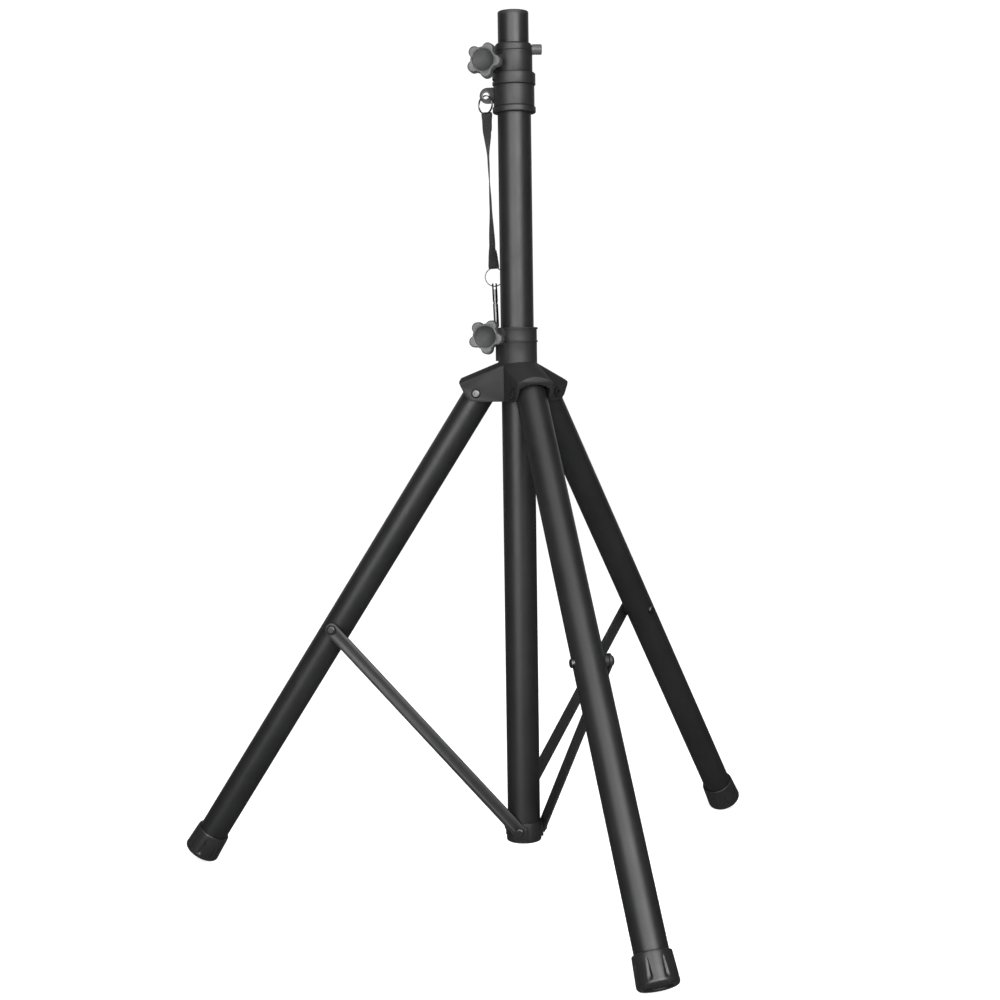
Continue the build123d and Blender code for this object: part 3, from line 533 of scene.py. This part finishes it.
def stitches(name, route, run_from, sign):
    """Rows of thread across a fold, on both faces of the strap."""
    bm = bmesh.new()
    half = (SEW_COLUMNS - 1) // 2
    for row in range(SEW_ROWS):
        run = run_from + sign * row * SEW_PITCH
        for column in range(SEW_COLUMNS):
            u = (column - half) / (half + 0.6)
            for side in (-1, 1):
                centre = (route.at(run) + route.across(run) * u * STRAP_WIDTH / 2
                          + route.face(run) * side * STRAP_PLY * 1.06)
                size = Matrix.Diagonal((*THREAD_SIZE, 1))
                slant = route.across(run) * 0.9 + route.way(run) * (0.35 if row % 2 else -0.35)
                x_way = slant.normalized()
                z_way = route.face(run)
                y_way = z_way.cross(x_way)
                turn = Matrix((x_way, y_way, z_way)).transposed().to_4x4()
                bmesh.ops.create_icosphere(bm, subdivisions=1, radius=1,
                                           matrix=Matrix.Translation(centre) @ turn @ size)
    return finished(bm, name)


def split_ring(name, centre, radius, normal_azimuth, gap_at):
    """Two close turns of wire, like a key ring's."""
    normal = radial(normal_azimuth)
    level = radial(normal_azimuth + 90)
    pitch = 2.08 * RING_WIRE_R
    points = []
    for i in range(RING_STEPS + 1):
        share = i / RING_STEPS
        angle = gap_at + 2 * pi * RING_TURNS * share
        shift = pitch * (smooth((share - 0.44) / 0.12) - 0.5)
        point = centre + (level * cos(angle) + Vector((0, 0, sin(angle)))) * radius + normal * shift
        points.append(point * MM)
    return wire(name, points, RING_WIRE_R * MM)


def make_lanyard():
    """Split rings, the folded strap and its stitching."""
    route = Route(route_line())
    mesh = split_ring("upper_split_ring", UPPER_RING_CENTRE, UPPER_RING_R, UPPER_RING_NORMAL,
                      radians(60))
    upper = piece("upper_split_ring", mesh, "lanyard_upper_ring")
    install(upper, "lanyard_upper_ring")
    mesh = split_ring("lower_split_ring", LOWER_RING_CENTRE, LOWER_RING_R, LOWER_RING_NORMAL,
                      radians(20))
    lower = piece("lower_split_ring", mesh, "lanyard_lower_ring")
    install(lower, "lanyard_lower_ring")
    line = strap_line(route)
    points, ways = zip(*line)
    mesh = ribbon("webbing_strap", points, ways, STRAP_WIDTH, STRAP_PLY)
    strap = piece("webbing_strap", mesh, "lanyard_strap", sharp=60)
    install(strap, "lanyard_strap")
    for name, run, sign in (
        ("upper_stitching", SEW_START, 1),
        ("lower_stitching", route.length - SEW_START, -1),
    ):
        mesh = stitches(name, route, run, sign)
        thread = piece(name, mesh, "lanyard_strap", material=MATERIALS["inner_plastic"])
        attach(thread, BODY_OF["lanyard_strap"])


# ---------------------------------------------------------------- knobs
KNOB_LOBES, LOBE_R, LOBE_AT, CORE_R = 5, 6.6, 13.6, 14.9
KNOB_BACK, KNOB_SHOULDER, KNOB_FACE = 20.4, 26.0, 38.8
KNOB_BOSS_R, KNOB_HOLE_R, KNOB_HOLE_END = 10.0, 5.0, 32.0
KNOB_FACE_EDGE, KNOB_BACK_EDGE = 2.3, 1.6  # roundings of the lobes, front and back
KNOB_BLEND = 1.5  # how softly the lobes meet the core
DISH_R, DISH_FLOOR_R, DISH_EDGE_DEPTH, DISH_DEPTH = 12.7, 11.9, 2.2, 3.9
SHADE_DISC_UP, SHADE_DISC_THICK = 0.06, 0.4  # a dark disc that lies in the dish, as painted shade for the hollow's darker look
KNOBS = (  # (name, CAD node, bolt's distance from the column, its height, a lobe's angle)
    ("collar_grip", "collar_knob", 27.0, 940.0, -78),
    ("hub_grip", "hub_knob", 29.3, 632.5, -84),
)


def star_radius(angle, turn):
    """Reach of the knob's five-lobed outline."""
    pitch = 2 * pi / KNOB_LOBES
    off = (angle - radians(turn) + pitch / 2) % pitch - pitch / 2
    inside = LOBE_R**2 - (LOBE_AT * sin(off)) ** 2
    lobe = LOBE_AT * cos(off) + sqrt(inside) if inside > 0 else LOBE_AT * cos(off)
    h = min(max(0.5 + 0.5 * (lobe - CORE_R) / (2 * KNOB_BLEND), 0), 1)
    return CORE_R * (1 - h) + lobe * h + 2 * KNOB_BLEND * h * (1 - h) * 0.5


def dish_depth(r):
    """Depth of the hollow in the knob's face, inside its steep rim."""
    return DISH_EDGE_DEPTH + (DISH_DEPTH - DISH_EDGE_DEPTH) * (1 - (r / DISH_FLOOR_R) ** 2)


def make_knob(name, node, bolt_r, bolt_z, turn):
    """A moulded star knob with rounded lobes and a dished face, and a dark disc of painted shade in
    the dish.

    Its rows are (radius, place along the bolt, 0) where round, and (inset from the outline, place,
    1) where lobed.
    """
    edge, back_edge = KNOB_FACE_EDGE, KNOB_BACK_EDGE
    rows = [(0, KNOB_HOLE_END, 0), (KNOB_HOLE_R, KNOB_HOLE_END, 0),
            (KNOB_HOLE_R, KNOB_BACK + 0.4, 0), (KNOB_HOLE_R + 0.4, KNOB_BACK, 0),
            (KNOB_BOSS_R - 0.8, KNOB_BACK, 0), (KNOB_BOSS_R, KNOB_BACK + 0.8, 0),
            (KNOB_BOSS_R, KNOB_SHOULDER - 1.0, 0), (KNOB_BOSS_R + 0.3, KNOB_SHOULDER - 0.3, 0),
            (KNOB_BOSS_R + 1.0, KNOB_SHOULDER, 0)]
    for i in range(6):
        a = pi / 2 * i / 5
        rows.append((back_edge * (1 - sin(a)), KNOB_SHOULDER + back_edge * (1 - cos(a)), 1))
    for share in (0.3, 0.65):
        rows.append((0.25 * share, KNOB_SHOULDER + back_edge + 8 * share, 1))
    for i in range(9):
        a = pi / 2 * i / 8
        rows.append((0.3 + (edge - 0.3) * (1 - cos(a)), KNOB_FACE - edge * (1 - sin(a)), 1))
    rows += [(DISH_R, KNOB_FACE - 0.12, 0), (DISH_R - 0.35, KNOB_FACE - 0.45, 0)]
    for i in range(12):
        share = 1 - i / 11
        rows.append((DISH_FLOOR_R * share, KNOB_FACE - dish_depth(DISH_FLOOR_R * share), 0))
    kinds = {(r, t): kind for r, t, kind in rows}

    def reach(angle, r, t):
        return star_radius(angle, turn) - r if kinds[(r, t)] else r

    base = spot(CLAMP_AZIMUTH, bolt_r, 0, bolt_z)
    mesh = turned_star(name, base, rows, reach)
    knob = piece(name, mesh, node, sharp=50)
    install(knob, node)
    # A dark disc laid just above the dish's floor paints the hollow's shade onto the knob's face.
    radii = [DISH_FLOOR_R * i / 10 for i in range(11)]
    disc = [(r, KNOB_FACE - dish_depth(r) + SHADE_DISC_UP) for r in radii]
    rows = [(r, t - SHADE_DISC_THICK) for r, t in disc] + list(reversed(disc))
    name += "_painted_shade_disc"
    mesh = turned(name, base, radial(CLAMP_AZIMUTH + 90), radial(CLAMP_AZIMUTH), rows, 96)
    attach(piece(name, mesh, node, sharp=50, material=DISH_PAINTED_SHADE), BODY_OF[node])


def turned_star(name, base, rows, reach, steps=180):
    """The knob's rings, from the blind hole at its back to the middle of its face."""
    axis = radial(CLAMP_AZIMUTH + 90)
    start = -radial(CLAMP_AZIMUTH)
    side = axis.cross(start)
    bm = bmesh.new()
    rings = []
    for r, t, kind in rows:
        centre = base + axis * t
        if r < ON_AXIS and not kind:
            rings.append([bm.verts.new(centre * MM)])
            continue
        ring = []
        for i in range(steps):
            angle = 2 * pi * i / steps
            point = centre + (start * cos(angle) + side * sin(angle)) * reach(angle, r, t)
            ring.append(bm.verts.new(point * MM))
        rings.append(ring)
    for low, high in zip(rings, rings[1:]):
        for i in range(steps):
            j = (i + 1) % steps
            corners = [low[0]] if len(low) == 1 else [low[i], low[j]]
            corners += [high[0]] if len(high) == 1 else [high[j], high[i]]
            bm.faces.new(corners)
    return finished(bm, name)


# ---------------------------------------------------------------- column, pole and legs
EYELET_AT, EYELET_Z = 32.8, 906.2
TUBE_R, TUBE_WALL, TUBE_Z = 19.0, 1.2, (47.5, 928.5)
LEG_PIVOT_R, LEG_PIVOT_Z, LEG_ANGLE = 45.0, 568.0, radians(32.92)
LEG_R, LEG_WALL, LEG_START, LEG_END = 17.5, 1.2, -8, 653
FOOT_START, FOOT_END, FOOT_R = 632.2, 665, 21.5
FOOT_TOP_R, FOOT_RIM, FOOT_ROUND = 20.35, 4.4, 4  # taper's top, rim's height, sole's rounding
FOOT_FIT = 0.02  # clearance on the leg tube
FLUTE_R, FLUTE_DEPTH = 20.2, 1.15  # the radius that the flutes start beyond, and their depth
FLUTES, FLUTE_PHASE = 8, radians(8)


def pipe_rows(radius, wall, low, high, edge=0.35):
    """Rows of an open pipe with eased ends."""
    inner = radius - wall
    return [(inner, low), (radius - edge, low), (radius, low + edge), (radius, (low + high) / 2),
            (radius, high - edge), (radius - edge, high), (inner, high), (inner, (low + high) / 2)]


def leg_frame(azimuth):
    """(pivot, direction down the leg, outward direction square to it)."""
    down = radial(azimuth) * sin(LEG_ANGLE) - Vector((0, 0, cos(LEG_ANGLE)))
    out = radial(azimuth) * cos(LEG_ANGLE) + Vector((0, 0, sin(LEG_ANGLE)))
    return spot(azimuth, LEG_PIVOT_R, 0, LEG_PIVOT_Z), down, out


def make_column():
    """The main tube."""
    mesh = turned("column_tube", Vector((0, 0, 0)), Vector((0, 0, 1)), Vector((1, 0, 0)),
                  pipe_rows(TUBE_R, TUBE_WALL, *TUBE_Z), 96)
    install(piece("column_tube", mesh, "main_tube"), "main_tube")


def flute_depth(angle, station):
    """Depth of the foot's tapered grooves: narrow at the top, and wide and round at the bottom."""
    low, high = FOOT_START + 5.5, FOOT_END - 5.0
    share = (station - low) / (high - low)
    if not 0 < share < 1:
        return 0
    half = radians(2.0 + 7.5 * share)
    pitch = 2 * pi / FLUTES
    off = abs((angle + FLUTE_PHASE + pitch / 2) % pitch - pitch / 2)
    deep = FLUTE_DEPTH * smooth(share / 0.25) * smooth((1 - share) / 0.16)
    return deep * cos(pi / 2 * off / half) ** 2 if off < half else 0


def make_leg(number, azimuth):
    """One leg's tube and its moulded foot."""
    pivot, down, out = leg_frame(azimuth)
    name = f"leg_{number}_pipe"
    mesh = turned(name, pivot, down, out, pipe_rows(LEG_R, LEG_WALL, LEG_START, LEG_END), 96)
    install(piece(name, mesh, f"leg_{number}_tube"), f"leg_{number}_tube")

    rows = [(0, LEG_END + 0.5), (LEG_R + FOOT_FIT, LEG_END + 0.5),
            (LEG_R + FOOT_FIT, FOOT_START + 0.3), (LEG_R + 0.5, FOOT_START), (19.5, FOOT_START),
            (19.9, FOOT_START + 0.25), (20.1, FOOT_START + 0.8), (FLUTE_R, FOOT_START + 2.4)]
    body = 26
    for i in range(body + 1):
        station = FOOT_START + FOOT_RIM + (FOOT_END - FOOT_ROUND - FOOT_START - FOOT_RIM) * i / body
        rows.append((FOOT_TOP_R + (FOOT_R - FOOT_TOP_R) * (i / body), station))
    for i in range(1, 9):
        turn = pi / 2 * i / 8
        rows.append((FOOT_R - FOOT_ROUND + FOOT_ROUND * cos(turn),
                     FOOT_END - FOOT_ROUND + FOOT_ROUND * sin(turn)))
    rows += [(15.6, FOOT_END), (15.0, FOOT_END - 0.5), (14.6, FOOT_END - 2), (0, FOOT_END - 2)]

    def fluted(angle, r, station):
        return r - (flute_depth(angle, station) if r > FLUTE_R else 0)

    foot = f"leg_{number}_shoe"
    mesh = turned(foot, pivot, down, out, rows, 216, radius=fluted, floor=True)
    install(piece(foot, mesh, f"leg_{number}_foot", sharp=40), f"leg_{number}_foot")


# ---------------------------------------------------------------- CAD nodes and softened castings
NODE_COATS = {"hub_pivot_nuts": "black_rivet"}  # where a finish differs from the slot's
EYELET_HOLE_R, EYELET_R, EYELET_HALF, EYELET_LIP = 3.7, 4.9, 1.0, 0.3
SOFT_EDGES = (  # (name, CAD node, rounding)
    ("hub_casting", "hub_body", 0.5),
    ("collar_casting", "collar_sleeve", 0.3),
    ("clamp_casting", "clamp_collar", 0.4),
    ("foot_bracket", "bottom_bracket", 0.4),
    ("brace_1_link", "brace_1_bar", 0.35),
    ("brace_2_link", "brace_2_bar", 0.35),
    ("brace_3_link", "brace_3_bar", 0.35),
)


def make_eyelet():
    """The lug's rolled metal eyelet."""
    half, lip = EYELET_HALF, EYELET_LIP
    rows = [(EYELET_HOLE_R, -half), (3.9, -half - lip), (4.6, -half - lip), (EYELET_R, -half),
            (EYELET_R, half), (4.6, half + lip), (3.9, half + lip), (EYELET_HOLE_R, half)]
    base = spot(CLAMP_AZIMUTH, EYELET_AT, 0, EYELET_Z)
    mesh = turned("lug_eyelet", base, radial(CLAMP_AZIMUTH + 90), radial(CLAMP_AZIMUTH), rows, 72)
    install(piece("lug_eyelet", mesh, "lug_grommet", sharp=60), "lug_grommet")


def make_castings():
    """Castings and links with eased edges, in place of the sharp CAD ones."""
    for name, node, width in SOFT_EDGES:
        finish = HUB_COAT if node == "hub_body" else None
        obj = piece(name, softened(node, name, width), node, sharp=40, material=finish)
        install(obj, node)


def dress_nodes():
    """Every CAD node takes its slot's finish, or the one that NODE_COATS gives it."""
    for node, obj in frame["nodes"].items():
        for holder in obj.material_slots:
            holder.material = MATERIALS[NODE_COATS.get(node, SLOT_OF[node])]


# ---------------------------------------------------------------- stage and light
def soft_box(name, at, look, size, power):
    """A rectangular softbox at a place, turned towards a point."""
    data = bpy.data.lights.new(name, "AREA")
    data.shape = "RECTANGLE"
    data.size, data.size_y = size
    data.energy = power
    light = bpy.data.objects.new(name, data)
    light.location = at
    light.rotation_euler = (Vector(look) - Vector(at)).to_track_quat("-Z", "Y").to_euler()
    bpy.context.collection.objects.link(light)


def make_stage():
    """A plain white floor, a white surround, and soft light: front, overhead and faint back.

    Distances are in metres, and a light's turn is anticlockwise from the camera's side.
    """
    bm = bmesh.new()
    bmesh.ops.create_grid(bm, x_segments=2, y_segments=2, size=14)
    bmesh.ops.translate(bm, verts=bm.verts, vec=(0, 0, -0.0003))
    floor = bpy.data.objects.new("floor", finished(bm, "floor"))
    bpy.context.collection.objects.link(floor)
    material, nodes, links, surface = shader("floor_paper", 0.9, specular=0.1)
    surface.inputs["Base Color"].default_value = (0.9, 0.9, 0.9, 1)
    surface.inputs["Emission Color"].default_value = (1, 1, 1, 1)
    surface.inputs["Emission Strength"].default_value = 0.72
    floor.data.materials.append(material)
    floor.visible_glossy = False

    world = bpy.data.worlds.new("surround")
    bpy.context.scene.world = world
    world.use_nodes = True
    nodes, links = world.node_tree.nodes, world.node_tree.links
    shown, lit = nodes["Background"], nodes.new("ShaderNodeBackground")
    shown.inputs["Color"].default_value = (1, 1, 1, 1)
    shown.inputs["Strength"].default_value = 1.05
    lit.inputs["Color"].default_value = (1, 1, 1, 1)
    lit.inputs["Strength"].default_value = 0.06
    ray, mix = nodes.new("ShaderNodeLightPath"), nodes.new("ShaderNodeMixShader")
    links.new(ray.outputs["Is Camera Ray"], mix.inputs["Fac"])
    links.new(lit.outputs["Background"], mix.inputs[1])
    links.new(shown.outputs["Background"], mix.inputs[2])
    links.new(mix.outputs["Shader"], nodes["World Output"].inputs["Surface"])

    sun = bpy.data.lights.new("overhead", "SUN")
    sun.energy = 1.0
    sun.angle = radians(60)
    overhead = bpy.data.objects.new("overhead", sun)
    overhead.rotation_euler = (radians(18), radians(-8), 0)
    bpy.context.collection.objects.link(overhead)

    heading = degrees(CAMERA_HEADING)
    middle = (0, 0, 0.5)
    for name, turn, away, height, size, power in (
        ("key", 20, 2.6, 1.5, (1.8, 1.8), 80),
        ("fill", -22, 2.6, 1.0, (1.8, 2.2), 62),
        ("back_left", -140, 3.0, 1.3, (1.6, 2.0), 5),
        ("back_right", 150, 3.0, 1.3, (1.6, 2.0), 5),
    ):
        azimuth = 270 - heading + turn
        at = radial(azimuth) * away + Vector((0, 0, height))
        soft_box(name, at, middle, size, power)
    bpy.context.scene.view_settings.view_transform = "Standard"


# ---------------------------------------------------------------- the whole stand
place_camera()
make_lanyard()
make_stage()
dress_nodes()
for knob in KNOBS:
    make_knob(*knob)
make_column()
make_eyelet()
for number, azimuth in enumerate(LEG_AZIMUTHS, start=1):
    make_leg(number, azimuth)
make_castings()
